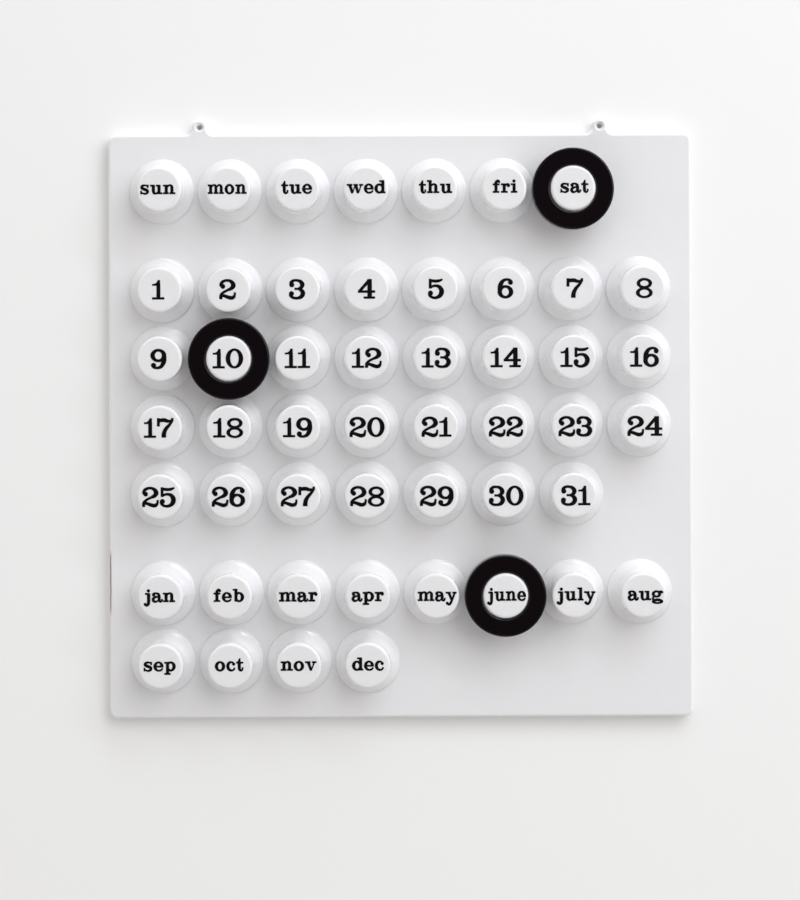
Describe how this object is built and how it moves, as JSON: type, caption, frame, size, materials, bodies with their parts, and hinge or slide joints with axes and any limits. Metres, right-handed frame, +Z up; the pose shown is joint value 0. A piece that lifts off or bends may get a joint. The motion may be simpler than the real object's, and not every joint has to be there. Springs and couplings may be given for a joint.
{
  "type": "perpetual calendar",
  "caption": "Square wall calendar moulded in one piece with rows of round hollow knobs for weekdays, dates and months, marked by loose rings hung on the knobs.",
  "frame": {"origin": "midpoint between the two hanging holes, on the plane of the wall behind the calendar", "axes": "+Z up the hanging panel, +X to the right as the reader sees it, +Y into the wall; the front faces -Y"},
  "size_m": [0.4, 0.0335, 0.4102],
  "materials": {
    "white_abs": "glossy white moulded ABS",
    "black_abs": "glossy black moulded ABS",
    "black_ink": "black screen-printed ink"
  },
  "bodies": {
    "root": {"panel": "white_abs", "day_ring": "black_abs", "date_ring": "black_abs", "month_ring": "black_abs"}
  },
  "joints": []
}
